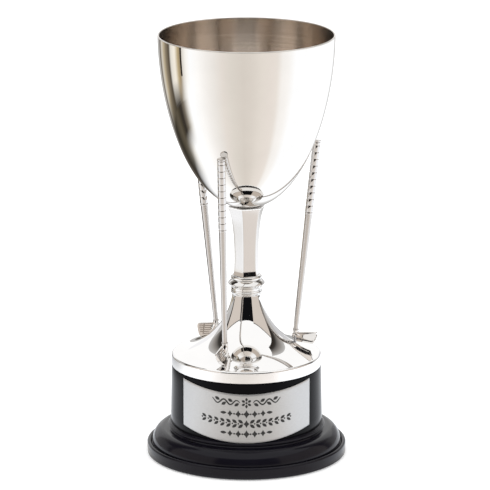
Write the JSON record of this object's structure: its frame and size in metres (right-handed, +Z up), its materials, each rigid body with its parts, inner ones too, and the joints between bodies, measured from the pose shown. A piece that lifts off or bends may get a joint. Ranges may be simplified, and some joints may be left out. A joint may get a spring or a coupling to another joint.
{
  "type": "cup trophy",
  "caption": "Polished golf cup trophy: open bowl on a six-sided stem and trumpet foot, miniature golf clubs round it, on a black moulded plinth with a curved plate.",
  "frame": {"origin": "centre of the felt pad's underside, on the resting plane, on the cup's axis", "axes": "+Z up along the cup's axis, the plate faces -Y, +X to the right seen from the plate's side"},
  "size_m": [0.1102, 0.1102, 0.236],
  "materials": {
    "cup_metal": "silver plate, mirror polish outside, satin turned inside the bowl",
    "stem_metal": "silver plate, mirror polish",
    "foot_metal": "silver plate, mirror polish",
    "fixings": "plain zinc-plated steel",
    "boss_brass": "plain turned brass, hidden",
    "plinth_black": "black gloss, moulded",
    "felt": "dark green felt",
    "plate_metal": "satin silver anodised, engraved rules and ornament",
    "adhesive": "white foam adhesive",
    "cap_metal": "polished",
    "grip_metal": "polished, ring grooves",
    "shaft_metal": "polished",
    "ferrule_metal": "polished",
    "head_metal": "polished, grooved face",
    "pegs": "plain steel pins"
  },
  "bodies": {
    "root": {"bowl": "cup_metal", "bowl_boss": "boss_brass", "stem_column": "stem_metal", "knop": "stem_metal", "foot": "foot_metal", "tie_rod": "fixings", "foot_washer": "fixings", "foot_nut": "fixings", "plinth": "plinth_black", "plinth_washer": "fixings", "plinth_nut": "fixings", "base_pad": "felt", "name_plate": "plate_metal", "plate_adhesive": "adhesive", "club_pegs": "pegs", "club_a_cap": "cap_metal", "club_a_grip": "grip_metal", "club_a_shaft": "shaft_metal", "club_a_ferrule": "ferrule_metal", "club_a_head": "head_metal", "club_b_cap": "cap_metal", "club_b_grip": "grip_metal", "club_b_shaft": "shaft_metal", "club_b_ferrule": "ferrule_metal", "club_b_head": "head_metal", "club_c_cap": "cap_metal", "club_c_grip": "grip_metal", "club_c_shaft": "shaft_metal", "club_c_ferrule": "ferrule_metal", "club_c_head": "head_metal"}
  },
  "joints": []
}
